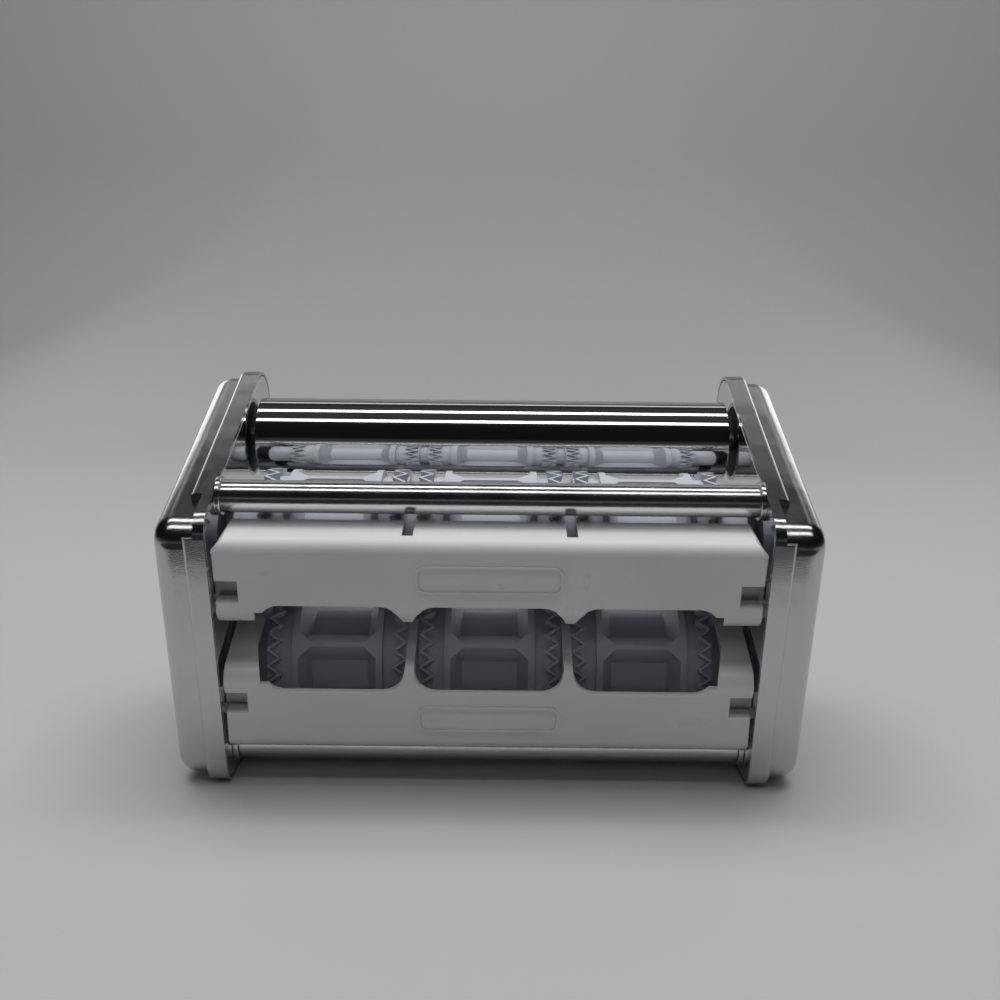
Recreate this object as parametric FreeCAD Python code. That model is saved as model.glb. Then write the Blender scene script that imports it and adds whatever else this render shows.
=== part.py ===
import FreeCAD, Part
import math
import os

# Ravioli maker attachment, laid on the sloping lower edges of its two side casings.
# Build frame: x across the maker, y back from the flat front face, z up from the middle of
# that face. settle() then tips each finished piece so that the lower edges lie flat.

# Side casings, seen from the end: a flat front and two sloping edges that spread to the back
casing_depth = 106.0
edge_slope_deg = 12.3
knee_radius = 7.6
rear_radius = 14.0
rim_width = 7.0
rim_edge_radius = 1.3
rim_step = 2.6
rim_front_step = 0.4
dome_width = 10.0
dome_knee_radius = 9.0
dome_edge_radius = 6.5
casing_wall = 1.2
rim_notch_end = 15.0
rim_notch_below = 5.5
rim_notch_width = 3.6
gear_room = 1.07

# Side plates that close the casings and carry every shaft
plate_thickness = 2.0
plate_gap = 0.3

# Moulding drums, one above and one below the nip
nip_height = 3.7
drum_depth = 38.5
drum_gap = 0.5
drum_end_room = 11.2
blade_radius = 22.5
blade_height = 2.7
cell_pitch = 51.0
cell_count = 3
pockets_round = 3
groove_width = 3.4
groove_depth = 5.5
hub_step = 1.0
hub_gap = 0.5
drum_turn_deg = 7.0

# Zigzag cutting blades and the pockets between them
blade_inset = 0.1
blade_swing = 3.9
blade_width = 1.3
blade_teeth = 25
pocket_across = 26.0
pocket_floor_across = 19.0
pocket_depth = 7.1
pocket_end_slope_deg = 14.0
pocket_corner = 5.0
pocket_rim = 2.1
pocket_ridge = 2.2
rim_below_blade = 0.4

# Shafts, bushes, gears and clips
shaft_radius = 5.0
running_gap = 0.05
bush_wall = 2.0
bush_flange_rise = 2.0
bush_flange = 2.0
gear_teeth = 24
gear_width = 8.0
gear_gap = 1.5
tooth_rise = 1.2
tooth_depth = 1.9
tooth_backlash_deg = 0.35
clip_rise = 3.0
clip_thickness = 1.0
clip_gap = 0.3

# Socket that takes the crank, on the lower drum's shaft
socket_radius = 8.0
socket_bore_radius = 4.5
socket_bore_length = 9.0
socket_slot_width = 2.5
socket_slot_depth = 3.0
socket_recess = 0.6
socket_hole_gap = 1.0

# Tie rods between the side plates, each at a gap from its drum and an inset from the edge
rod_radius = 5.2
upper_rod_gap = 0.75
upper_rod_inset = 3.8
lower_rod_gap = 4.3
lower_rod_inset = 10.3
rod_end_radius = 1.8
washer_rise = 1.0
washer_thickness = 1.8
rod_screw_radius = 2.4
rod_screw_head = 1.6

# Smooth guide rollers behind the drums
guide_radius = 14.3
guide_wall = 1.5
guide_end_gap = 1.6
upper_guide_gap = 10.9
upper_guide_sunk = 4.7
lower_guide_gap = 10.9
lower_guide_sunk = 11.9
guide_axle_radius = 3.5
guide_cap_length = 9.0

# Combs: one moulding below the nip and one above it, which has its outer corners cut off
comb_end_gap = 1.3
comb_wall = 2.0
comb_front = 0.8
comb_rod_gap = 1.5
comb_bead_depth = 6.1
comb_lip_depth = 19.2
lip_step = 0.6
lip_slot_start = 7.5
comb_bend = 4.5
comb_elbow = 9.0
comb_elbow_bend = 7.0
tooth_tip_before_axis = 11.5
tooth_tip_height = 2.6
tooth_gap = 0.3
window_edge = 15.3
window_corner = 7.5
window_inset = 2.1
arm_gap = 1.2
arm_flare_start = 0.0
arm_flare_end = 14.0
comb_chamfer_across = 3.5
comb_chamfer_down = 3.8
notch_depth = 7.0
notch_low = 16.4
notch_high = 23.6
notch_rib = 1.5
notch_rib_depth = 7.5
notch_rib_length = 8.6
label_length = 45.5
label_height = 9.5
label_middle = 25.0
label_corner = 3.2
label_line = 0.8
label_rise = 0.6

# Tabs on the side plates that hold the combs by their notches
peg_gap = 0.3
peg_end_gap = 0.6
peg_depth = 5.8
peg_thickness = 3.0

# Posts and screws that hold each casing to its plate: one in front and two at the back
post_inset = 13.0
post_spread = 26.0
post_radius = 3.5
screw_radius = 1.8
screw_head_radius = 4.0
screw_head = 1.2
screw_hole_gap = 0.3

slope = math.radians(edge_slope_deg)
drum_half = (cell_count * cell_pitch - groove_width) / 2
inner_half = drum_half + drum_end_room
plate_outer = inner_half + plate_thickness
rim_outer = inner_half + rim_width
casing_outer = rim_outer + dome_width
casing_inside = casing_outer - casing_wall
land_radius = blade_radius - blade_height
groove_radius = blade_radius - groove_depth
hub_radius = groove_radius - hub_step
rim_radius = blade_radius - rim_below_blade
pocket_floor_radius = rim_radius - pocket_depth
blade_offset = (cell_pitch - groove_width - blade_swing - blade_width) / 2 - blade_inset
pitch_radius = blade_radius + drum_gap / 2
upper_drum_axis = (drum_depth, nip_height + pitch_radius)
lower_drum_axis = (drum_depth, nip_height - pitch_radius)
bush_radius = shaft_radius + bush_wall
bush_flange_radius = bush_radius + bush_flange_rise
clip_radius = shaft_radius + clip_rise
washer_radius = rod_radius + washer_rise
gear_start = plate_outer + gear_gap
gear_end = gear_start + gear_width
socket_end = casing_outer - socket_recess
tooth_width = groove_width - 2 * tooth_gap
tooth_tip_depth = drum_depth - tooth_tip_before_axis
comb_width = 2 * (inner_half - comb_end_gap)
window_outer = drum_half - window_inset
arm_inner = drum_half + arm_gap
peg_length = comb_end_gap + notch_depth - peg_end_gap

# The upper gear, inside its casing's dome, sets how tall the casings are
gear_to_edge = pitch_radius + tooth_rise + gear_room + casing_wall + rim_step
front_height = 2 * (upper_drum_axis[1] - drum_depth * math.tan(slope)
                    + gear_to_edge / math.cos(slope))


def beside_drum(axis, distance, inset, direction):
    """Place at a distance from a drum's axis and at an inset from the nearer sloping edge,
    towards the back for a direction of 1 and the front for -1."""
    half = 1 if axis[1] > 0 else -1
    edge = front_height / 2 + axis[0] * math.tan(slope)
    room = (edge - half * axis[1]) * math.cos(slope) - inset
    along = direction * math.sqrt(distance ** 2 - room ** 2)
    depth = axis[0] + along * math.cos(slope) - room * math.sin(slope)
    height = half * axis[1] + along * math.sin(slope) + room * math.cos(slope)
    return (depth, half * height)


upper_rod = beside_drum(upper_drum_axis, blade_radius + rod_radius + upper_rod_gap,
                        upper_rod_inset, -1)
lower_rod = beside_drum(lower_drum_axis, blade_radius + rod_radius + lower_rod_gap,
                        lower_rod_inset, -1)
comb_reach = upper_rod[1] - rod_radius - comb_rod_gap - nip_height
upper_guide = beside_drum(upper_drum_axis, blade_radius + guide_radius + upper_guide_gap,
                          guide_radius + upper_guide_sunk, 1)
lower_guide = beside_drum(lower_drum_axis, blade_radius + guide_radius + lower_guide_gap,
                          guide_radius + lower_guide_sunk, 1)
post_places = ((post_inset, nip_height),
               (casing_depth - post_inset, nip_height + post_spread),
               (casing_depth - post_inset, nip_height - post_spread))
X_AXIS = FreeCAD.Vector(1, 0, 0)


def casing_corners(inset, front_inset):
    """Four corners (depth, height) of the casing's end outline, with its sides moved inwards."""
    corners = []
    for depth in (front_inset, casing_depth - inset):
        height = front_height / 2 + depth * math.tan(slope) - inset / math.cos(slope)
        corners.append((depth, height))
    front, rear = corners
    return [front, rear, (rear[0], -rear[1]), (front[0], -front[1])]


def rounded_face(points, radii, x):
    """Face at x, square to the x axis, on points (depth, height) with rounded corners."""
    corners = [FreeCAD.Vector(x, depth, height) for depth, height in points]
    edges = []
    joins = []
    for index, corner in enumerate(corners):
        before = (corners[index - 1] - corner).normalize()
        after = (corners[(index + 1) % len(corners)] - corner).normalize()
        half_angle = before.getAngle(after) / 2
        radius = radii[index]
        if radius == 0:
            joins.append((corner, corner))
            continue
        start = corner + before * (radius / math.tan(half_angle))
        end = corner + after * (radius / math.tan(half_angle))
        middle_direction = (before + after).normalize()
        middle = corner + middle_direction * (radius / math.sin(half_angle) - radius)
        edges.append(Part.Arc(start, middle, end).toShape())
        joins.append((start, end))
    for index, (_, end) in enumerate(joins):
        next_start = joins[(index + 1) % len(joins)][0]
        if end.distanceToPoint(next_start) > 1e-6:
            edges.append(Part.LineSegment(end, next_start).toShape())
    return Part.Face(Part.Wire(Part.__sortEdges__(edges)))


def outline_prism(inset, x_start, x_end, front_inset=None, knee=knee_radius):
    """Prism of the casing's end outline, moved inwards by inset, between two x values."""
    front_inset = inset if front_inset is None else front_inset
    knee = knee - front_inset
    rear = rear_radius - inset
    corners = casing_corners(inset, front_inset)
    face = rounded_face(corners, [knee, rear, rear, knee], x_start)
    return face.extrude(FreeCAD.Vector(x_end - x_start, 0, 0))


def with_rounded_end(prism, radius, x_end):
    """The prism with the edges around its end face rounded."""
    edges = [edge for edge in prism.Edges if edge.BoundBox.XMin > x_end - 0.01]
    return prism.makeFillet(radius, edges)


def rod(radius, x_start, x_end, place):
    """Round bar along x about place (depth, height)."""
    base = FreeCAD.Vector(x_start, place[0], place[1])
    return Part.makeCylinder(radius, x_end - x_start, base, X_AXIS)


def ring(outer_radius, inner_radius, x_start, x_end, place):
    """Round ring along x about place (depth, height)."""
    outer = rod(outer_radius, x_start, x_end, place)
    return outer.cut(rod(inner_radius, x_start, x_end, place))


def block(x_range, y_range, z_range):
    """Box between pairs of x, y and z values."""
    size = [ends[1] - ends[0] for ends in (x_range, y_range, z_range)]
    base = FreeCAD.Vector(x_range[0], y_range[0], z_range[0])
    return Part.makeBox(size[0], size[1], size[2], base)


def mirrored_in_x(shape):
    """The same piece on the other side of the maker."""
    return shape.mirror(FreeCAD.Vector(0, 0, 0), X_AXIS)


def turned_over(shape):
    """The same piece on the other side of the nip plane."""
    return shape.mirror(FreeCAD.Vector(0, 0, nip_height), FreeCAD.Vector(0, 0, 1))


def settle(shape):
    """Tip a piece so that the casings' lower edges lie flat, centred above the origin."""
    knee = casing_corners(knee_radius, knee_radius)[0]
    rear = casing_corners(rear_radius, rear_radius)[2]
    front_reach = knee[0] * math.cos(slope) - knee[1] * math.sin(slope) - knee_radius
    rear_reach = rear[0] * math.cos(slope) - rear[1] * math.sin(slope) + rear_radius
    lift = front_height / 2 * math.cos(slope)
    shift = FreeCAD.Vector(0, -(front_reach + rear_reach) / 2, lift)
    tip = FreeCAD.Rotation(X_AXIS, edge_slope_deg)
    return shape.transformed(FreeCAD.Placement(shift, tip).toMatrix())


def rounded_dome(shrink):
    """The dome as a solid with a rounded outer edge, its walls moved inwards by shrink."""
    end = casing_outer - shrink
    dome = outline_prism(rim_step + shrink, inner_half - shrink, end,
                         rim_front_step + shrink, dome_knee_radius)
    return with_rounded_end(dome, dome_edge_radius - shrink, end)


def right_casing(with_crank_hole):
    """Drawn casing: a wide rim beside the plate, and a smaller dome outside it."""
    notches = []
    for grow in (0, casing_wall):
        notch_from = rim_outer - rim_notch_width - grow
        notch_bottom = front_height / 2 - rim_notch_below - grow
        notches.append(block((notch_from, rim_outer + 1), (-1, rim_notch_end + grow),
                             (notch_bottom, casing_depth)))
    notch, wide_notch = notches
    dome = rounded_dome(0)
    rim = with_rounded_end(outline_prism(0, inner_half, rim_outer), rim_edge_radius, rim_outer)
    rim = rim.cut(notch)
    hollow = outline_prism(casing_wall, inner_half - 1, rim_outer - casing_wall).cut(wide_notch)
    dome_hollow = rounded_dome(casing_wall)
    casing = rim.fuse(dome).removeSplitter().cut(hollow.fuse(dome_hollow))
    for place in post_places:
        hole = rod(screw_radius + screw_hole_gap, casing_inside - 1, casing_outer + 1, place)
        casing = casing.cut(hole)
    if with_crank_hole:
        hole_radius = socket_radius + socket_hole_gap
        casing = casing.cut(rod(hole_radius, casing_inside - 1, casing_outer + 1,
                                lower_drum_axis))
    return casing


def right_plate():
    """Flat plate inside the rim, bored for the bushes, the rods and the guide axles."""
    plate = outline_prism(casing_wall + plate_gap, inner_half, plate_outer)
    bores = [(bush_radius, upper_drum_axis), (bush_radius, lower_drum_axis),
             (rod_end_radius, upper_rod), (rod_end_radius, lower_rod),
             (guide_axle_radius, upper_guide), (guide_axle_radius, lower_guide)]
    for radius, place in bores:
        plate = plate.cut(rod(radius, inner_half - 1, plate_outer + 1, place))
    return plate


def zigzag_blade():
    """One zigzag blade around the drum, centred on x = 0, with its axis on the x axis."""
    half_band = (blade_swing + blade_width) / 2
    root = land_radius - 0.4
    band = ring(blade_radius, root, -half_band, half_band, (0, 0))
    step = 360.0 / blade_teeth
    half_tooth = blade_radius * math.tan(math.radians(step / 2))
    bites = []
    for side, phase in ((-1, 0.0), (1, 0.5)):
        edge = side * (half_band + 0.01)
        apex = edge - side * (blade_swing + 0.01)
        points = [FreeCAD.Vector(edge, -half_tooth, root - 1),
                  FreeCAD.Vector(apex, 0, root - 1),
                  FreeCAD.Vector(edge, half_tooth, root - 1)]
        bite = Part.Face(Part.makePolygon(points + points[:1]))
        bite = bite.extrude(FreeCAD.Vector(0, 0, blade_radius - root + 3))
        for tooth in range(blade_teeth):
            turned = bite.copy()
            turned.rotate(FreeCAD.Vector(0, 0, 0), X_AXIS, (tooth + phase) * step)
            bites.append(turned)
    return band.cut(bites)


def on_circle(radius, turn_deg, x=0.0):
    """Point at x on a circle about the x axis, turned from +z by turn_deg."""
    turn = math.radians(turn_deg)
    return FreeCAD.Vector(x, radius * math.sin(turn), radius * math.cos(turn))


def pocket_cutter():
    """Space of one pocket at the top of a drum, with sloping ends and sloping sides."""
    top = blade_radius + 1
    ridge_deg = math.degrees(pocket_ridge / 2 / rim_radius)
    end_deg = 180.0 / pockets_round - ridge_deg
    floor_deg = end_deg - pocket_end_slope_deg
    top_deg = end_deg + pocket_end_slope_deg * (top - rim_radius) / (rim_radius
                                                                     - pocket_floor_radius)
    half = pocket_across / 2 + 1
    corners = [on_circle(top, top_deg, -half), on_circle(pocket_floor_radius, floor_deg, -half),
               on_circle(pocket_floor_radius, -floor_deg, -half), on_circle(top, -top_deg, -half)]
    edges = [Part.LineSegment(corners[0], corners[1]).toShape(),
             Part.Arc(corners[1], on_circle(pocket_floor_radius, 0, -half),
                      corners[2]).toShape(),
             Part.LineSegment(corners[2], corners[3]).toShape(),
             Part.Arc(corners[3], on_circle(top, 0, -half), corners[0]).toShape()]
    sector = Part.Face(Part.Wire(edges)).extrude(FreeCAD.Vector(2 * half, 0, 0))
    rise = (top - rim_radius) / (rim_radius - pocket_floor_radius)
    slope_in = (pocket_across - pocket_floor_across) / 2
    outer = pocket_across / 2 + slope_in * rise
    inner = pocket_floor_across / 2 - slope_in * rise
    low = pocket_floor_radius - (top - rim_radius)
    points = [FreeCAD.Vector(-outer, 0, top), FreeCAD.Vector(outer, 0, top),
              FreeCAD.Vector(inner, 0, low), FreeCAD.Vector(-inner, 0, low)]
    section = Part.Face(Part.makePolygon(points + points[:1]))
    return sector.common(section.revolve(FreeCAD.Vector(0, 0, 0), X_AXIS, 360))


def corner_gussets():
    """Two wedges that cut the corners of the pockets on both sides of the ridge at the top."""
    gussets = []
    for side in (-1, 1):
        wide = side * (pocket_across / 2 + 0.5)
        narrow = side * (pocket_across / 2 - pocket_corner)
        points = [FreeCAD.Vector(wide, -pocket_corner, pocket_floor_radius - 2),
                  FreeCAD.Vector(narrow, 0, pocket_floor_radius - 2),
                  FreeCAD.Vector(wide, pocket_corner, pocket_floor_radius - 2)]
        face = Part.Face(Part.makePolygon(points + points[:1]))
        gussets.append(face.extrude(FreeCAD.Vector(0, 0, blade_radius)))
    return gussets


def pocket_frame(cell_middle):
    """Raised collar around the drum with its pockets cut in, centred on cell_middle."""
    half = pocket_across / 2 + pocket_rim
    collar = rod(rim_radius, -half, half, (0, 0))
    pockets = []
    gussets = []
    for index in range(pockets_round):
        turn = index * 360.0 / pockets_round
        pocket = pocket_cutter()
        pocket.rotate(FreeCAD.Vector(0, 0, 0), X_AXIS, turn)
        pockets.append(pocket)
        for gusset in corner_gussets():
            gusset.rotate(FreeCAD.Vector(0, 0, 0), X_AXIS, turn + 180.0 / pockets_round)
            gussets.append(gusset.common(collar))
    return collar.cut(pockets).fuse(gussets).translated(FreeCAD.Vector(cell_middle, 0, 0))


def lower_drum():
    """Moulding drum: three rows of pockets between zigzag blades, with grooves for the comb."""
    axis = (0, 0)
    hub_end = inner_half - bush_flange - hub_gap
    body = rod(hub_radius, -hub_end, hub_end, axis)
    body = body.fuse(rod(groove_radius, -drum_half, drum_half, axis))
    frame_half = pocket_across / 2 + pocket_rim
    land_half = (cell_pitch - groove_width) / 2
    lands = []
    frames = []
    blades = []
    blade = zigzag_blade()
    for cell in range(cell_count):
        middle = (cell - (cell_count - 1) / 2) * cell_pitch
        body = body.cut(rod(land_radius, middle - frame_half, middle + frame_half, axis))
        frames.append(pocket_frame(middle))
        for side in (-1, 1):
            ends = sorted((middle + side * (frame_half - 0.5), middle + side * land_half))
            lands.append(rod(land_radius, ends[0], ends[1], axis))
            blades.append(blade.translated(FreeCAD.Vector(middle + side * blade_offset, 0, 0)))
    body = body.fuse(frames + lands + blades).removeSplitter()
    body = body.cut(rod(shaft_radius, -hub_end - 1, hub_end + 1, axis))
    body.rotate(FreeCAD.Vector(0, 0, 0), X_AXIS, -drum_turn_deg)
    return body.translated(FreeCAD.Vector(0, *lower_drum_axis))


def drum_shaft(axis, right_end):
    """Shaft through a drum, from its gear on the left to right_end."""
    left_end = -(gear_end + clip_gap + clip_thickness + 0.8)
    return rod(shaft_radius, left_end, right_end, axis)


def drum_clips(axis):
    """Two retaining rings: one outside the gear, one outside the right plate."""
    left = gear_end + clip_gap
    right = plate_outer + clip_gap
    return [ring(clip_radius, shaft_radius, -left - clip_thickness, -left, axis),
            ring(clip_radius, shaft_radius, right, right + clip_thickness, axis)]


def gear(axis, first_tooth_deg):
    """Spur gear on the left of a drum, with a tooth at first_tooth_deg from +y."""
    tip_radius = pitch_radius + tooth_rise
    root_radius = pitch_radius - tooth_depth
    pitch_deg = 360.0 / gear_teeth
    half_pitch_tooth = pitch_deg / 4 - tooth_backlash_deg
    half_tip = half_pitch_tooth * 0.55
    half_root = half_pitch_tooth * 1.5
    points = []
    for tooth in range(gear_teeth):
        middle = first_tooth_deg + tooth * pitch_deg
        for radius, turn in ((root_radius, -half_root), (tip_radius, -half_tip),
                             (tip_radius, half_tip), (root_radius, half_root)):
            angle = math.radians(middle + turn)
            points.append(FreeCAD.Vector(-gear_end, axis[0] + radius * math.cos(angle),
                                         axis[1] + radius * math.sin(angle)))
    blank = Part.Face(Part.makePolygon(points + points[:1]))
    blank = blank.extrude(FreeCAD.Vector(gear_width, 0, 0))
    return blank.cut(rod(shaft_radius, -gear_end - 1, -gear_start + 1, axis))


def crank_socket():
    """Sleeve on the end of the lower shaft, bored and slotted for a crank."""
    start = socket_end - socket_bore_length
    sleeve = rod(socket_radius, start - socket_slot_width, socket_end, lower_drum_axis)
    sleeve = sleeve.cut(rod(socket_bore_radius, start, socket_end + 1, lower_drum_axis))
    depth, height = lower_drum_axis
    slot = block((socket_end - socket_slot_depth, socket_end + 1),
                 (depth - socket_radius - 1, depth + socket_radius + 1),
                 (height - socket_slot_width / 2, height + socket_slot_width / 2))
    return sleeve.cut(slot)


def comb_profile():
    """Section of the upper comb: lip, front wall, elbow and teeth that reach for the nip."""
    front = comb_front
    back = comb_front + comb_wall
    fall = (comb_elbow - tooth_tip_height) / (tooth_tip_depth - front)
    inner_elbow = comb_elbow + comb_wall - fall * comb_wall
    points = [(comb_lip_depth, comb_reach - lip_step), (comb_bead_depth, comb_reach - lip_step),
              (comb_bead_depth, comb_reach), (front, comb_reach), (front, comb_elbow),
              (tooth_tip_depth, tooth_tip_height),
              (tooth_tip_depth, tooth_tip_height + comb_wall),
              (back, inner_elbow), (back, comb_reach - comb_wall),
              (comb_lip_depth, comb_reach - comb_wall)]
    radii = [0.4, 0, 0.3, comb_bend, comb_elbow_bend, 0, 0.6, comb_elbow_bend - comb_wall,
             comb_bend - comb_wall, 0.4]
    placed = [(depth, nip_height + height) for depth, height in points]
    return rounded_face(placed, radii, -comb_width / 2)


def window_cutter(x_start, x_end):
    """Rounded opening between two x values, from the teeth's tips up to the window edge."""
    top = nip_height + window_edge
    corner = window_corner
    upper = block((x_start, x_end), (-5, tooth_tip_depth + 1), (nip_height - 5, top))
    upright = [edge for edge in upper.Edges
               if edge.BoundBox.ZMin > top - 0.01 and edge.BoundBox.XLength < 0.01]
    return upper.makeFillet(corner, upright)


def label_frame():
    """Plain raised line around the middle of the front wall."""
    frames = []
    for inset, rise in ((0.0, label_rise), (label_line, label_rise + 1)):
        half_length = label_length / 2 - inset
        half_height = label_height / 2 - inset
        middle = nip_height + label_middle
        plate = block((-half_length, half_length), (comb_front - rise, comb_front + 0.2),
                      (middle - half_height, middle + half_height))
        corners = [edge for edge in plate.Edges
                   if edge.BoundBox.XLength < 0.01 and edge.BoundBox.ZLength < 0.01]
        frames.append(plate.makeFillet(label_corner - inset, corners))
    return frames[0].cut(frames[1])


def notch_ribs():
    """Ribs behind the front wall, above and below each end notch."""
    ribs = []
    for side in (-1, 1):
        half = comb_width / 2
        ends = sorted((side * (half - notch_rib_length), side * half))
        for low in (notch_low - notch_rib, notch_high):
            ribs.append(block(ends, (comb_front + comb_wall / 2, notch_rib_depth),
                              (nip_height + low, nip_height + low + notch_rib)))
    return ribs


def comb_above(with_cut_corners):
    """White comb with three windows, end notches and teeth that run in the drum's grooves."""
    half = comb_width / 2
    comb = comb_profile().extrude(FreeCAD.Vector(comb_width, 0, 0))
    tooth_half = tooth_width / 2
    inner_tooth = cell_pitch / 2
    windows = [(-window_outer, -inner_tooth - tooth_half),
               (-inner_tooth + tooth_half, inner_tooth - tooth_half),
               (inner_tooth + tooth_half, window_outer)]
    comb = comb.cut([window_cutter(start, end) for start, end in windows])
    notches = []
    for side in (-1, 1):
        slot_middle = side * inner_tooth
        notches.append(block((slot_middle - groove_width / 2, slot_middle + groove_width / 2),
                             (lip_slot_start, comb_lip_depth + 1),
                             (nip_height + comb_reach - comb_wall - 1,
                              nip_height + comb_reach + 1)))
        ends = sorted((side * (half - notch_depth), side * (half + 1)))
        notches.append(block(ends, (-1, comb_front + comb_wall + 1),
                             (nip_height + notch_low, nip_height + notch_high)))
        flare = [(window_outer - 2, arm_flare_start), (window_outer, arm_flare_start),
                 (arm_inner, arm_flare_end), (arm_inner, tooth_tip_depth + 1),
                 (window_outer - 2, tooth_tip_depth + 1)]
        flare = [FreeCAD.Vector(side * x, y, nip_height) for x, y in flare]
        flare = Part.Face(Part.makePolygon(flare + flare[:1]))
        notches.append(flare.extrude(FreeCAD.Vector(0, 0, comb_elbow + 2 * comb_wall)))
        if not with_cut_corners:
            continue
        top = nip_height + comb_reach + 0.1
        corner = [(half + 0.1, top), (half - comb_chamfer_across, top),
                  (half + 0.1, top - comb_chamfer_down)]
        corner = [FreeCAD.Vector(side * x, -1, z) for x, z in corner]
        corner = Part.Face(Part.makePolygon(corner + corner[:1]))
        notches.append(corner.extrude(FreeCAD.Vector(0, comb_lip_depth + 2, 0)))
    return comb.cut(notches).fuse(notch_ribs() + [label_frame()]).removeSplitter()


def comb_pegs():
    """Four flat tabs on the inner faces of the plates, one behind each comb's notch."""
    upper = block((inner_half - peg_length, inner_half), (peg_depth, peg_depth + peg_thickness),
                  (nip_height + notch_low + peg_gap, nip_height + notch_high - peg_gap))
    lower = turned_over(upper)
    return [upper, lower, mirrored_in_x(upper), mirrored_in_x(lower)]


def tie_rod(place):
    """Plated rod between the washers, with thinner ends through the plates."""
    half = inner_half - washer_thickness
    return rod(rod_radius, -half, half, place).fuse(
        rod(rod_end_radius, -plate_outer, plate_outer, place))


def tie_rod_washers(place):
    """Washers between a rod's shoulders and the plates."""
    washer = ring(washer_radius, rod_end_radius, inner_half - washer_thickness, inner_half, place)
    return [washer, mirrored_in_x(washer)]


def tie_rod_screws(place):
    """Screw heads outside the plates, on the ends of a rod."""
    head = rod(rod_screw_radius, plate_outer, plate_outer + rod_screw_head, place)
    return [head, mirrored_in_x(head)]


def guide_tube(place):
    """Polished tube that turns on its two caps."""
    half = inner_half - guide_end_gap
    return ring(guide_radius, guide_radius - guide_wall, -half, half, place)


def guide_caps(place):
    """Plastic caps in the ends of a guide tube, bored for the axle."""
    end = inner_half - guide_end_gap - 0.5
    cap = ring(guide_radius - guide_wall, guide_axle_radius + running_gap,
               end - guide_cap_length, end, place)
    return [cap, mirrored_in_x(cap)]


def guide_axle(place):
    """Fixed axle of a guide tube, through both plates."""
    half = plate_outer + clip_thickness + 2 * clip_gap
    return rod(guide_axle_radius, -half, half, place)


def guide_clips(place):
    """Rings that keep a guide axle in the plates."""
    start = plate_outer + clip_gap
    clip = ring(guide_axle_radius + 2, guide_axle_radius, start, start + clip_thickness, place)
    return [clip, mirrored_in_x(clip)]


def right_bushes():
    """Flanged bushes for the two drum shafts in the right plate."""
    bushes = []
    for axis in (upper_drum_axis, lower_drum_axis):
        body = rod(bush_radius, inner_half, plate_outer, axis)
        flange = rod(bush_flange_radius, inner_half - bush_flange, inner_half, axis)
        bore = rod(shaft_radius + running_gap, inner_half - bush_flange - 1, plate_outer + 1, axis)
        bushes.append(body.fuse(flange).cut(bore))
    return bushes


def right_posts():
    """Posts between the right plate and the outer wall of its casing."""
    return [ring(post_radius, screw_radius, plate_outer, casing_inside, place)
            for place in post_places]


def right_casing_screws():
    """Screws through the casing into its posts."""
    screws = []
    for place in post_places:
        head = rod(screw_head_radius, casing_outer, casing_outer + screw_head, place)
        shank = rod(screw_radius, plate_outer + 2, casing_outer, place)
        screws.append(head.fuse(shank))
    return screws


def all_nodes():
    """Every piece by name, as a shape or a list of separate shapes, in the build frame."""
    nodes = {}
    nodes["right_casing"] = right_casing(True)
    nodes["left_casing"] = mirrored_in_x(right_casing(False))
    nodes["right_side_plate"] = right_plate()
    nodes["left_side_plate"] = mirrored_in_x(right_plate())
    nodes["right_drum_bushes"] = right_bushes()
    nodes["right_casing_posts"] = right_posts()
    nodes["right_casing_screws"] = right_casing_screws()
    for name in ("drum_bushes", "casing_posts", "casing_screws"):
        nodes["left_" + name] = [mirrored_in_x(piece) for piece in nodes["right_" + name]]
    nodes["lower_drum"] = lower_drum()
    nodes["upper_drum"] = turned_over(nodes["lower_drum"])
    right_end = plate_outer + 2 * clip_gap + clip_thickness
    nodes["upper_drum_shaft"] = drum_shaft(upper_drum_axis, right_end)
    nodes["lower_drum_shaft"] = drum_shaft(
        lower_drum_axis, socket_end - socket_bore_length - socket_slot_width)
    half_step = 180.0 / gear_teeth
    nodes["lower_gear"] = gear(lower_drum_axis, 90 - drum_turn_deg)
    nodes["upper_gear"] = gear(upper_drum_axis, -90 + half_step + drum_turn_deg)
    nodes["upper_drum_clips"] = drum_clips(upper_drum_axis)
    nodes["lower_drum_clips"] = drum_clips(lower_drum_axis)
    nodes["crank_socket"] = crank_socket()
    nodes["upper_comb"] = comb_above(True)
    nodes["lower_comb"] = turned_over(comb_above(False))
    nodes["comb_pegs"] = comb_pegs()
    nodes["upper_tie_rod"] = tie_rod(upper_rod)
    nodes["lower_tie_rod"] = tie_rod(lower_rod)
    nodes["tie_rod_washers"] = tie_rod_washers(upper_rod) + tie_rod_washers(lower_rod)
    nodes["tie_rod_screws"] = tie_rod_screws(upper_rod) + tie_rod_screws(lower_rod)
    for name, place in (("upper_guide", upper_guide), ("lower_guide", lower_guide)):
        nodes[name + "_tube"] = guide_tube(place)
        nodes[name + "_caps"] = guide_caps(place)
        nodes[name + "_axle"] = guide_axle(place)
    nodes["guide_axle_clips"] = guide_clips(upper_guide) + guide_clips(lower_guide)
    return nodes


os.makedirs("parts", exist_ok=True)
for node_name, pieces in all_nodes().items():
    solids = pieces if isinstance(pieces, list) else [pieces]
    solids = [settle(piece) for piece in solids]
    shape = solids[0] if len(solids) == 1 else Part.makeCompound(solids)
    shape.exportStep("parts/" + node_name + ".step")
    print(node_name, len(shape.Solids), "solids, volume", round(shape.Volume, 1),
          "valid" if shape.isValid() else "NOT VALID")
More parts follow.
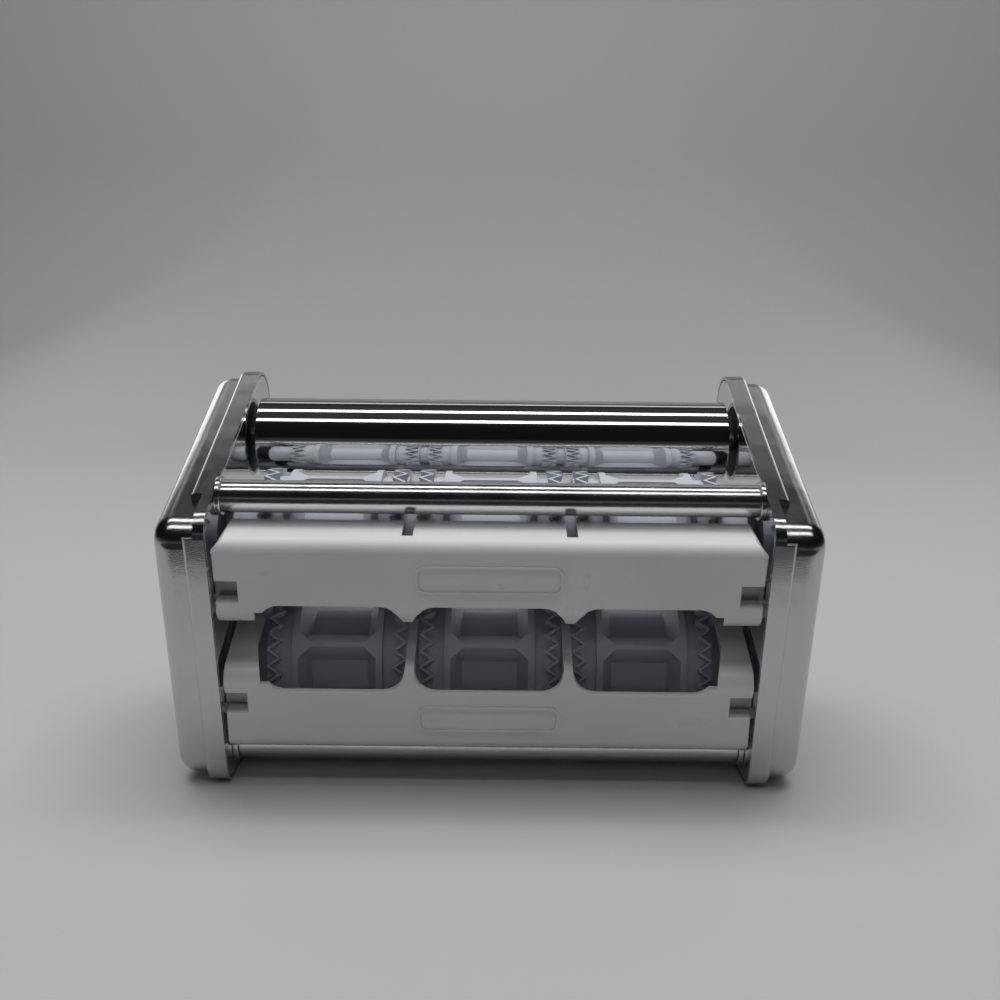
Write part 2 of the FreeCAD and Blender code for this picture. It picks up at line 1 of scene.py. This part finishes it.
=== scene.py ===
# %% [markdown]
# # A ravioli maker on a pale table
#
# The maker is a pasta machine's attachment. Two drawn chrome casings carry a pair of geared
# moulding drums, and two white combs strip the finished squares off the drums. It lies here on
# the casings' long sloping edges, with its outlet side towards us.
#
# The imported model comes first. It fixes every size and place, so the rest of this notebook only
# has to care about how things look. Lengths are in metres.

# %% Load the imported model
import math

import bmesh
import bpy
from mathutils import Matrix, Vector


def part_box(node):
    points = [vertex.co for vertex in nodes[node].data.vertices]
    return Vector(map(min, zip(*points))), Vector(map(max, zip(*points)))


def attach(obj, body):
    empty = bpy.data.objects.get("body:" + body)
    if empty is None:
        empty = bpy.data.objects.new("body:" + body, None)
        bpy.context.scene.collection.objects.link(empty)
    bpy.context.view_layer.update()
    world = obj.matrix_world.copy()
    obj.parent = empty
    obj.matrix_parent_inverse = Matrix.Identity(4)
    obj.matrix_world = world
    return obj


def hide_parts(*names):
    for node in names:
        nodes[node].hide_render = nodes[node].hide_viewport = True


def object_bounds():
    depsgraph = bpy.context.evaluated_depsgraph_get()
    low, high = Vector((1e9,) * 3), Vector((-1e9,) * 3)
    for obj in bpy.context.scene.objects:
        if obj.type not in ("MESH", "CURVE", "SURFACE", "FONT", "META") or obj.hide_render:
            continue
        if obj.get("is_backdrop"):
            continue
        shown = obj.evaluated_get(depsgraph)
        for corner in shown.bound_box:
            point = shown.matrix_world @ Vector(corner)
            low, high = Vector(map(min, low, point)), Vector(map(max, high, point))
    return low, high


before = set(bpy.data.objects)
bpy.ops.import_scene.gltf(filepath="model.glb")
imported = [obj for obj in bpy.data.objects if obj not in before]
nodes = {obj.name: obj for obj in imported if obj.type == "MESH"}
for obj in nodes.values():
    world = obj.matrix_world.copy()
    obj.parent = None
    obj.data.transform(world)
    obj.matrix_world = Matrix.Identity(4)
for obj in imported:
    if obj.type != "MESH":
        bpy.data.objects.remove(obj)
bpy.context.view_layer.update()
MM = 0.001

# %% [markdown]
# ## Camera
#
# The picture was taken from just above the front edge, about a forearm away, looking down by
# ten degrees. A camera is easiest to set from one known point: here the front corner line of
# the casings, which lies a little below the optical axis and a third of a metre in front of
# the lens. A tiny roll follows the photographer's hand.

# %% Camera
edge_slope = math.radians(12.3)
look_down = math.radians(10.3)
camera_roll = math.radians(0.6)
image_width_px = 1000
focal_length_px = 1100
corner_distance = 329.6 * MM
corner_drop = 7.5 * MM
camera_side_step = 3.0 * MM

casing_low, casing_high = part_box("right_casing")
front_face_height = 95.105 * MM
front_corner = Vector((0, casing_low.y, front_face_height * math.cos(edge_slope)))
forward = Vector((0, math.cos(look_down), -math.sin(look_down)))
downward = Vector((0, -math.sin(look_down), -math.cos(look_down)))
eye = front_corner - forward * corner_distance - downward * corner_drop
eye.x = camera_side_step

camera_data = bpy.data.cameras.new("camera")
camera_data.sensor_width = 36
camera_data.lens = focal_length_px / image_width_px * camera_data.sensor_width
camera_data.clip_start = 0.01
camera = bpy.data.objects.new("camera", camera_data)
tilt = Matrix.Rotation(math.pi / 2 - look_down, 4, "X")
camera.matrix_world = Matrix.Translation(eye) @ tilt @ Matrix.Rotation(camera_roll, 4, "Z")
bpy.context.scene.collection.objects.link(camera)
bpy.context.scene.camera = camera
print("camera at", [round(v / MM, 1) for v in eye], "mm, lens", round(camera_data.lens, 1))

# %% [markdown]
# ## Table and light
#
# Chrome shows its surroundings more than itself, so the surroundings are part of the finish.
# One pale sheet runs along the table and curls up behind the maker, which leaves no horizon in
# the metal. The sheet is a line of two vertices, extruded along the table and then spun up
# through a quarter turn.

# %% Pale sweep
sweep_half_width = 1.6
sweep_front = -1.5
sweep_turn_start = 0.75
sweep_turn_radius = 0.35
sweep_height = 0.75


def link_mesh(name, bm):
    """Turn a bmesh into an object in the scene."""
    mesh = bpy.data.meshes.new(name)
    bm.to_mesh(mesh)
    bm.free()
    thing = bpy.data.objects.new(name, mesh)
    bpy.context.scene.collection.objects.link(thing)
    return thing


def make_sweep():
    bm = bmesh.new()
    ends = [bm.verts.new((x, sweep_front, 0)) for x in (-sweep_half_width, sweep_half_width)]
    edge = bm.edges.new(ends)
    grown = bmesh.ops.extrude_edge_only(bm, edges=[edge])["geom"]
    ends = [part for part in grown if isinstance(part, bmesh.types.BMVert)]
    bmesh.ops.translate(bm, verts=ends, vec=(0, sweep_turn_start - sweep_front, 0))
    edge = [part for part in grown if isinstance(part, bmesh.types.BMEdge)]
    last = [e for e in edge if all(v in ends for v in e.verts)]
    centre = (0, sweep_turn_start, sweep_turn_radius)
    turned = bmesh.ops.spin(bm, geom=last + ends, cent=centre, axis=(1, 0, 0),
                            angle=math.pi / 2, steps=16)["geom_last"]
    edge = [part for part in turned if isinstance(part, bmesh.types.BMEdge)]
    grown = bmesh.ops.extrude_edge_only(bm, edges=edge)["geom"]
    top = [part for part in grown if isinstance(part, bmesh.types.BMVert)]
    bmesh.ops.translate(bm, verts=top, vec=(0, 0, sweep_height))
    for face in bm.faces:
        face.smooth = True
    return link_mesh("table_sweep", bm)


sweep = make_sweep()
sweep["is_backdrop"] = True
print("sweep with", len(sweep.data.polygons), "faces")

# %% [markdown]
# A material is a small network of nodes. This helper starts each one with a principled shader
# and returns the network, so that the cells below only add what their surface needs.

# %% A helper for materials


def new_surface(name, colour, roughness, metallic=0.0):
    """A material with one principled shader. Returns the material, its nodes and links."""
    material = bpy.data.materials.new(name)
    material.use_nodes = True
    tree = material.node_tree
    shader = tree.nodes["Principled BSDF"]
    shader.inputs["Base Color"].default_value = (*colour, 1)
    shader.inputs["Roughness"].default_value = roughness
    shader.inputs["Metallic"].default_value = metallic
    return material, tree, shader


def node(tree, kind, **settings):
    """Add a node, and set its inputs or properties by name."""
    made = tree.nodes.new(kind)
    for key, value in settings.items():
        if key in made.inputs:
            made.inputs[key].default_value = value
        else:
            setattr(made, key, value)
    return made


def object_noise(tree, scale, detail=4.0, stretch=(1, 1, 1)):
    """Noise on Object coordinates, in waves per metre along each axis."""
    place = node(tree, "ShaderNodeTexCoord")
    mapping = node(tree, "ShaderNodeMapping", Scale=stretch)
    noise = node(tree, "ShaderNodeTexNoise", Scale=scale, Detail=detail)
    tree.links.new(place.outputs["Object"], mapping.inputs["Vector"])
    tree.links.new(mapping.outputs["Vector"], noise.inputs["Vector"])
    return noise


def bump_from(tree, shader, height, strength, distance):
    """Raise the shader's surface by a height output, in metres."""
    bump = node(tree, "ShaderNodeBump", Strength=strength, Distance=distance)
    tree.links.new(height, bump.inputs["Height"])
    tree.links.new(bump.outputs["Normal"], shader.inputs["Normal"])
    return bump


def vary(tree, source, low, high, target):
    """Spread a 0 to 1 output between two values and feed it to a socket."""
    spread = node(tree, "ShaderNodeMapRange")
    spread.inputs["From Min"].default_value = 0.3
    spread.inputs["From Max"].default_value = 0.7
    spread.inputs["To Min"].default_value = low
    spread.inputs["To Max"].default_value = high
    tree.links.new(source, spread.inputs["Value"])
    tree.links.new(spread.outputs["Result"], target)


sheet_material, tree, shader = new_surface("pale_sheet", (0.42, 0.42, 0.42), 0.85)
sheet_noise = object_noise(tree, 900.0)
bump_from(tree, shader, sheet_noise.outputs["Fac"], 0.15, 0.0002)
sweep.data.materials.append(sheet_material)
print("sheet material ready")

# %% [markdown]
# ## Lamps and surroundings
#
# Polished metal is lit by what it mirrors, and plastic by what falls on it, so the two get
# lamps of their own. A wide panel overhead and a weak one in front light the plastic and the
# table and stay out of reflections. Two long narrow panels, one almost overhead and one above
# the camera, draw the two white lines along the tube. A weak one behind brightens the casings'
# upper slopes, and a panel behind on either side draws the line down their outer rounding. The
# rest of the room is nearly black, which gives chrome its deep tones.

# %% Lamps and surroundings


def soft_panel(name, elevation_deg, distance, size, watts, in_metal=True, azimuth_deg=0):
    """A lamp facing the maker. Elevation runs from the horizon in front, over the top, and
    azimuth from the front towards the right."""
    lamp = bpy.data.lights.new(name, "AREA")
    lamp.shape = "RECTANGLE"
    lamp.size, lamp.size_y = size
    lamp.energy = watts
    elevation = math.radians(elevation_deg)
    azimuth = math.radians(azimuth_deg)
    target = Vector((0, 0, 0.06))
    level = math.cos(elevation)
    direction = Vector((level * math.sin(azimuth), -level * math.cos(azimuth),
                        math.sin(elevation)))
    thing = bpy.data.objects.new(name, lamp)
    turn = direction.to_track_quat("Z", "Y").to_matrix().to_4x4()
    thing.matrix_world = Matrix.Translation(target + direction * distance) @ turn
    thing.visible_glossy = in_metal
    thing.visible_camera = False
    bpy.context.scene.collection.objects.link(thing)


soft_panel("overhead_panel", 92, 1.3, (1.5, 0.9), 15.5, in_metal=False)
soft_panel("front_panel", 35, 1.4, (0.9, 0.5), 1.6, in_metal=False)
soft_panel("ceiling_line", 92, 1.2, (1.6, 0.16), 3.2)
soft_panel("camera_line", 60, 1.2, (1.6, 0.16), 2.4)
soft_panel("slope_line", 128, 1.2, (1.6, 0.14), 0.55)
for side, azimuth in (("left", -144), ("right", 144)):
    soft_panel(side + "_line", 20, 1.1, (0.3, 0.5), 0.7, azimuth_deg=azimuth)

world = bpy.data.worlds.new("dark_room")
bpy.context.scene.world = world
world.use_nodes = True
sky = world.node_tree
where = node(sky, "ShaderNodeTexCoord")
split = node(sky, "ShaderNodeSeparateXYZ")
ramp = node(sky, "ShaderNodeValToRGB")
sky.links.new(where.outputs["Generated"], split.inputs["Vector"])
sky.links.new(split.outputs["Z"], ramp.inputs["Fac"])
room_tones = [(0.0, 0.04), (0.12, 0.006), (0.7, 0.008), (1.0, 0.05)]
for index, (height, tone) in enumerate(room_tones):
    stop = ramp.color_ramp.elements[index] if index < 2 else ramp.color_ramp.elements.new(height)
    stop.position = height
    stop.color = (tone, tone, tone, 1)
sky.links.new(ramp.outputs["Color"], sky.nodes["Background"].inputs["Color"])
bpy.context.scene.view_settings.view_transform = "Standard"
print(len(bpy.data.lights), "panels in a dark room")

# %% [markdown]
# A photographer lays a black card in front of chrome, just out of the picture, to give its lower
# edges a dark reflection. Ours is one grid face on the table below the lens. Only mirrored rays
# see it, so it neither shows nor throws a shadow from any other side.

# %% Black card
card_back = -0.16
card_depth = 0.7
card_half_width = 0.6

card_mesh = bmesh.new()
bmesh.ops.create_grid(card_mesh, x_segments=1, y_segments=1, size=1)
bmesh.ops.scale(card_mesh, verts=card_mesh.verts[:], vec=(card_half_width, card_depth / 2, 1))
bmesh.ops.translate(card_mesh, verts=card_mesh.verts[:], vec=(0, card_back - card_depth / 2, MM))
card = link_mesh("black_card", card_mesh)
card.data.materials.append(new_surface("black_card", (0.01, 0.01, 0.01), 0.9)[0])
card.visible_camera = False
card.visible_diffuse = False
card.visible_shadow = False
card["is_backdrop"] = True
print("card", 2 * card_half_width, "by", card_depth, "m")

# %% [markdown]
# ## Edges that catch the light
#
# No real edge is perfectly sharp. Each imported mesh is loose triangles, so a Weld modifier joins
# them first, and a planar Decimate clears the flat faces' inner edges. On the pieces listed with a
# width, a narrow Bevel rounds what is left. Edge Split keeps the creases that stay. The last
# modifier weighs each corner's normal by face area: without it a large flat face shares the tilt
# of its narrow rounded border, and mirrors the ceiling as a pillow would.

# %% Rounded edges for imported pieces
merge_distance = 0.002 * MM
flat_angle = math.radians(0.5)


def keep_flats_flat(piece, crease_deg=35):
    """Smooth a piece's shading, with creases kept and large faces left flat."""
    piece.data.polygons.foreach_set("use_smooth", [True] * len(piece.data.polygons))
    split = piece.modifiers.new("keep_creases", "EDGE_SPLIT")
    split.split_angle = math.radians(crease_deg)
    weigh = piece.modifiers.new("keep_flats_flat", "WEIGHTED_NORMAL")
    weigh.mode = "FACE_AREA"
    weigh.weight = 90
    weigh.keep_sharp = True


def soften(piece, width, segments=3, angle_deg=35):
    """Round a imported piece's edges by a width in millimetres."""
    weld = piece.modifiers.new("join", "WELD")
    weld.merge_threshold = merge_distance
    flat = piece.modifiers.new("clear_flats", "DECIMATE")
    flat.decimate_type = "DISSOLVE"
    flat.angle_limit = flat_angle
    if width:
        bevel = piece.modifiers.new("round_edges", "BEVEL")
        bevel.width = width * MM
        bevel.segments = segments
        bevel.limit_method = "ANGLE"
        bevel.angle_limit = math.radians(angle_deg)
        bevel.use_clamp_overlap = True
    keep_flats_flat(piece)


edge_widths = {"casing_posts": 0.3, "side_plate": 0.2, "comb_pegs": 0.5, "drum_shaft": 0.4,
               "caps": 0.3, "axle": 0.3, "socket": 0.4, "gear": 0.2}
for name, piece in nodes.items():
    soften(piece, next((width for word, width in edge_widths.items() if word in name), 0))
print("softened", len(nodes), "pieces")

# %% [markdown]
# ## Chrome and other metals
#
# The casings are drawn steel under thick chrome. Their skin keeps a fine pitting from the
# press, so they blur what they mirror, while the guide tubes and side plates are polished.
# Three noises do this: a fine one for the pits, a slow one that bends reflections as thin
# metal does, and a cloudy one that makes some patches duller than others.

# %% Chrome and other metals


def plated(name, colour, roughness, pits_per_metre, pit_height, wave_height, stretch=(1, 1, 1)):
    """Bright metal with pits, a slow waviness and patches of dullness."""
    material, tree, shader = new_surface(name, colour, roughness, metallic=1.0)
    waves = object_noise(tree, 45.0, 2.0, stretch)
    wavy = node(tree, "ShaderNodeBump", Strength=1.0, Distance=wave_height)
    tree.links.new(waves.outputs["Fac"], wavy.inputs["Height"])
    pits = object_noise(tree, pits_per_metre, 3.0)
    fine = bump_from(tree, shader, pits.outputs["Fac"], 1.0, pit_height)
    tree.links.new(wavy.outputs["Normal"], fine.inputs["Normal"])
    cloud = object_noise(tree, 70.0, 4.0)
    vary(tree, cloud.outputs["Fac"], roughness * 0.8, roughness * 1.3,
         shader.inputs["Roughness"])
    return material


casing_chrome = plated("casing_chrome", (0.54, 0.54, 0.545), 0.17, 2300.0, 0.00003, 0.0003)
mirror_chrome = plated("mirror_chrome", (0.70, 0.70, 0.705), 0.05, 1500.0, 0.0000006, 0.00004)
zinc_plate = plated("zinc_plate", (0.70, 0.715, 0.725), 0.17, 3200.0, 0.000018, 0.00003)
turned_steel = plated("turned_steel", (0.52, 0.52, 0.53), 0.3, 1500.0, 0.00001, 0.00002)
sanded_steel = plated("sanded_steel", (0.36, 0.36, 0.37), 0.42, 2600.0, 0.000012, 0.00002)
print("five metals")

# %% [markdown]
# ## Plastics
#
# The combs and drums are injection-moulded. The combs are satin, with a faint texture from the
# mould and a slight yellowing in patches that comes with flour and years. The drums' plastic
# is cooler and glossier. The bushes and caps are a dull dark bearing plastic.

# %% Plastics


def moulded(name, colour, aged_colour, roughness, grain_height):
    """Moulded plastic whose colour drifts between two tones, with a fine grain."""
    material, tree, shader = new_surface(name, colour, roughness)
    patches = object_noise(tree, 28.0, 5.0)
    blend = node(tree, "ShaderNodeMix", data_type="RGBA")
    spread = node(tree, "ShaderNodeMapRange")
    spread.inputs["From Min"].default_value = 0.45
    spread.inputs["From Max"].default_value = 0.75
    tree.links.new(patches.outputs["Fac"], spread.inputs["Value"])
    tree.links.new(spread.outputs["Result"], blend.inputs["Factor"])
    blend.inputs["A"].default_value = (*colour, 1)
    blend.inputs["B"].default_value = (*aged_colour, 1)
    colour_sockets = [socket for socket in blend.outputs if socket.type == "RGBA"]
    tree.links.new(colour_sockets[0], shader.inputs["Base Color"])
    grain = object_noise(tree, 2200.0, 5.0)
    bump_from(tree, shader, grain.outputs["Fac"], 1.0, grain_height)
    cloud = object_noise(tree, 60.0, 3.0)
    vary(tree, cloud.outputs["Fac"], roughness * 0.85, roughness * 1.2,
         shader.inputs["Roughness"])
    return material


comb_plastic = moulded("comb_plastic", (0.60, 0.605, 0.61), (0.575, 0.57, 0.545), 0.32, 0.00001)
drum_plastic = moulded("drum_plastic", (0.47, 0.50, 0.55), (0.43, 0.455, 0.49), 0.38, 0.00001)
dark_plastic = moulded("bearing_plastic", (0.03, 0.03, 0.032), (0.05, 0.05, 0.05), 0.5, 0.00001)
print("three plastics")

# %% [markdown]
# ## Turned pieces
#
# Tubes, rods, washers and screws all come off a lathe, so one helper makes them: it draws half
# of the piece's section as a flat face, rounds the section's corners with a vertex bevel, and
# spins the outline once around the axis. A lathe-turned edge is never sharp, and that thin
# rounded rim is what shows a reader where one part ends and the next begins.

# %% A helper for turned pieces


def turned(name, sections, axis_place, rounding, steps=96):
    """Spin half-sections of (x, radius) points about the line along x through axis_place."""
    bm = bmesh.new()
    depth, height = axis_place
    for section in sections:
        corners = [bm.verts.new((x, depth, height + radius)) for x, radius in section]
        bm.faces.new(corners)
    for corner in [v for v in bm.verts if v.co.z > height + 1e-6]:
        bmesh.ops.bevel(bm, geom=[corner], offset=rounding * MM, offset_type="OFFSET",
                        segments=3, profile=0.5, affect="VERTICES", material=-1)
    bmesh.ops.delete(bm, geom=bm.faces[:], context="FACES_ONLY")
    on_axis = [e for e in bm.edges if all(v.co.z < height + 1e-6 for v in e.verts)]
    bmesh.ops.delete(bm, geom=on_axis, context="EDGES")
    bmesh.ops.spin(bm, geom=bm.verts[:] + bm.edges[:], cent=(0, depth, height), axis=(1, 0, 0),
                   angle=2 * math.pi, steps=steps, use_merge=True)
    bmesh.ops.remove_doubles(bm, verts=bm.verts[:], dist=0.001 * MM)
    bmesh.ops.recalc_face_normals(bm, faces=bm.faces[:])
    piece = link_mesh(name, bm)
    keep_flats_flat(piece)
    return piece


def axis_of(name):
    """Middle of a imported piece, as (y, z)."""
    low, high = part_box(name)
    return ((low.y + high.y) / 2, (low.z + high.z) / 2)


print("lathe ready")

# %% [markdown]
# ## Guide tubes
#
# The polished tubes guide the dough. They are rolled from bright tube with their ends dressed,
# so each has a wall of 1.5 mm and small rounded rims. They turn, so each rides on its own
# body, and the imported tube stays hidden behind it.

# %% Guide tubes
tube_wall = 1.5 * MM

for level in ("upper", "lower"):
    packed = level + "_guide_tube"
    low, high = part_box(packed)
    outer = (high.z - low.z) / 2
    ends = (low.x, high.x)
    section = [(ends[0], outer), (ends[1], outer), (ends[1], outer - tube_wall),
               (ends[0], outer - tube_wall)]
    tube = turned(level + "_tube_polished", [section], axis_of(packed), 0.45, steps=144)
    tube.data.materials.append(mirror_chrome)
    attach(tube, level + "_guide_body")
    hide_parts(packed)
    print(tube.name, "radius", round(outer / MM, 2), "length", round((ends[1] - ends[0]) / MM, 1))

# %% [markdown]
# ## Tie rods and their collars
#
# Two plated rods hold the side plates apart. Each rod has a thick middle, thinner ends that
# pass through the plates, and a collar against each plate that is a little wider than the rod.

# %% Tie rods and collars
rod_shank_radius = 1.8 * MM
collar_thickness = 1.8 * MM
collar_rise = 1.0 * MM
plate_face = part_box("right_side_plate")[0].x

for level in ("upper", "lower"):
    packed = level + "_tie_rod"
    low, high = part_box(packed)
    radius = (high.z - low.z) / 2
    reach = plate_face - collar_thickness
    section = [(low.x, 0), (low.x, rod_shank_radius), (-reach, rod_shank_radius),
               (-reach, radius), (reach, radius), (reach, rod_shank_radius),
               (high.x, rod_shank_radius), (high.x, 0)]
    rod = turned(level + "_rod_plated", [section], axis_of(packed), 0.3)
    rod.data.materials.append(zinc_plate)
    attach(rod, "frame")
    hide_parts(packed)
    rims = []
    for start, end in ((-plate_face, -reach), (reach, plate_face)):
        rims.append([(start, radius + collar_rise), (end, radius + collar_rise),
                     (end, rod_shank_radius), (start, rod_shank_radius)])
    collars = turned(level + "_rod_collars", rims, axis_of(packed), 0.4)
    collars.data.materials.append(zinc_plate)
    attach(collars, "frame")
    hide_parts("tie_rod_washers")
    print(rod.name, "radius", round(radius / MM, 2))

# %% [markdown]
# ## Combs
#
# The combs' windows and notches are well rounded where the mould parts, and it shows as a pale
# line around each opening. A Bevel modifier would shrink to the shortest edge that it meets, so
# this step works on a copy: it merges the copy's loose triangles, clears the flats, finds the
# outer edges of the wall and of the lip, and bevels only those.

# %% Combs
wall_rounding = 0.7 * MM
lip_rounding = 0.3 * MM
same_direction = 0.999
sharp_corner = math.radians(60)
same_height = 0.01 * MM
front_normal = Vector((0, -math.cos(edge_slope), -math.sin(edge_slope)))
lip_normal = Vector((0, -math.sin(edge_slope), math.cos(edge_slope)))


def round_outline(bm, normal, rounding):
    """Bevel the outer edges of the largest flat face that looks along a direction."""
    facing = [face for face in bm.faces if face.normal.dot(normal) > same_direction]
    wall = max(facing, key=lambda face: face.calc_area())
    height = wall.verts[0].co.dot(normal)
    level_faces = [face for face in facing
                   if abs(face.verts[0].co.dot(normal) - height) < same_height]
    edges = {edge for face in level_faces for edge in face.edges
             if len(edge.link_faces) == 2 and edge.calc_face_angle_signed() > sharp_corner}
    bmesh.ops.bevel(bm, geom=list(edges), offset=rounding, offset_type="OFFSET", segments=4,
                    profile=0.5, affect="EDGES", material=-1, clamp_overlap=False)
    return len(edges)


for packed, up in (("upper_comb", 1), ("lower_comb", -1)):
    bm = bmesh.new()
    bm.from_mesh(nodes[packed].data)
    bmesh.ops.remove_doubles(bm, verts=bm.verts[:], dist=merge_distance)
    bmesh.ops.dissolve_limit(bm, angle_limit=flat_angle, verts=bm.verts[:], edges=bm.edges[:])
    bm.normal_update()
    count = round_outline(bm, front_normal, wall_rounding)
    count += round_outline(bm, lip_normal * up, lip_rounding)
    comb = link_mesh(packed.replace("_comb", "_comb_rounded"), bm)
    comb.data.materials.append(comb_plastic)
    keep_flats_flat(comb)
    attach(comb, "frame")
    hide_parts(packed)
    print(comb.name, "with", count, "rounded edges")

# %% [markdown]
# ## Casing screws
#
# Each casing is held by three screws with low domed heads, which nobody ever leaves with their
# slots in line. A screw is a lathe piece. Its slot is two cuts across the head, with the faces
# between them extruded and pushed in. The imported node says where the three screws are.

# %% Casing screws
screw_head_radius = 4.0 * MM
screw_head_height = 1.2 * MM
screw_rim_height = 0.6 * screw_head_height
screw_crown_radius = 0.55 * screw_head_radius
screw_shank_radius = 1.8 * MM
slot_half_width = 0.55 * MM
slot_depth = 0.6 * MM
first_slot_deg = 25
slot_turn_deg = 55
faces_outwards = 0.3


def screw_centres(name, reach):
    """Middles (y, z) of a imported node's separate screws, from the outermost points."""
    points = [v.co for v in nodes[name].data.vertices if abs(abs(v.co.x) - reach) < same_height]
    groups = []
    for point in points:
        near = [g for g in groups if (g[0].yz - point.yz).length < 3 * screw_head_radius]
        if near:
            near[0].append(point)
        else:
            groups.append([point])
    return [((min(p.y for p in g) + max(p.y for p in g)) / 2,
             (min(p.z for p in g) + max(p.z for p in g)) / 2) for g in groups]


def cut_slot(bm, centre, slot_deg, side, head_start):
    """Sink a slot across the outer end of a screw. side is 1 for the right and -1 for the left."""
    middle = Vector((0, *centre))
    across = Vector((0, math.cos(math.radians(slot_deg)), math.sin(math.radians(slot_deg))))
    for offset in (-slot_half_width, slot_half_width):
        bmesh.ops.bisect_plane(bm, geom=bm.verts[:] + bm.edges[:] + bm.faces[:],
                               plane_co=middle + across * offset, plane_no=across)
    bottom = [face for face in bm.faces if face.normal.x * side > faces_outwards
              and abs(face.calc_center_median().x) > head_start
              and abs((face.calc_center_median() - middle).dot(across)) < slot_half_width]
    grown = bmesh.ops.extrude_face_region(bm, geom=bottom)["geom"]
    sunk = [part for part in grown if isinstance(part, bmesh.types.BMVert)]
    bmesh.ops.delete(bm, geom=bottom, context="FACES")
    bmesh.ops.translate(bm, verts=sunk, vec=(-side * slot_depth, 0, 0))
    bmesh.ops.recalc_face_normals(bm, faces=bm.faces[:])


def slotted_screw(centre, slot_deg, side, shank_end, tip):
    """Mesh of one screw between two distances from the middle of the maker."""
    head_start = tip - screw_head_height
    section = [(shank_end, 0), (shank_end, screw_shank_radius), (head_start, screw_shank_radius),
               (head_start, screw_head_radius), (head_start + screw_rim_height, screw_head_radius),
               (tip, screw_crown_radius), (tip, 0)]
    section = [(side * x, radius) for x, radius in section]
    blank = turned("screw_blank", [section], centre, 0.15, steps=48)
    mesh = blank.data
    bpy.data.objects.remove(blank)
    bm = bmesh.new()
    bm.from_mesh(mesh)
    cut_slot(bm, centre, slot_deg, side, head_start)
    bm.to_mesh(mesh)
    bm.free()
    return mesh


for name, side in (("left", -1), ("right", 1)):
    packed = name + "_casing_screws"
    low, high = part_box(packed)
    shank_end, tip = sorted((abs(low.x), abs(high.x)))
    all_three = bmesh.new()
    for index, centre in enumerate(screw_centres(packed, tip)):
        slot_deg = first_slot_deg + index * slot_turn_deg
        all_three.from_mesh(slotted_screw(centre, slot_deg, side, shank_end, tip))
    screws = link_mesh(name + "_slotted_screws", all_three)
    screws.data.materials.append(zinc_plate)
    keep_flats_flat(screws)
    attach(screws, "frame")
    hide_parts(packed)
    print(screws.name, "replace", packed)

# %% [markdown]
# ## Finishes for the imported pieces
#
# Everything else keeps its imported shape. The list pairs a word from a piece's name with its
# finish, and the first word that fits wins, so the narrower words come first.

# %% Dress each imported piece
finishes = [("casing_screws", zinc_plate), ("casing_posts", turned_steel),
            ("casing", casing_chrome), ("side_plate", mirror_chrome),
            ("guide_tube", mirror_chrome), ("guide_caps", dark_plastic),
            ("bushes", dark_plastic), ("comb_pegs", sanded_steel), ("comb", comb_plastic),
            ("tie_rod", zinc_plate), ("shaft", turned_steel), ("clips", turned_steel),
            ("gear", turned_steel), ("drum", drum_plastic), ("axle", turned_steel),
            ("socket", turned_steel)]
for name, piece in nodes.items():
    finish = next(material for word, material in finishes if word in name)
    piece.data.materials.clear()
    piece.data.materials.append(finish)
print("dressed", len(nodes), "pieces")

# %% [markdown]
# ## Sizes
#
# The finished model has to fill the same box as the imported one. The last line measures the box
# that the finished model fills, without the backdrop.

# %% Measure the finished model's box
low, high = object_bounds()
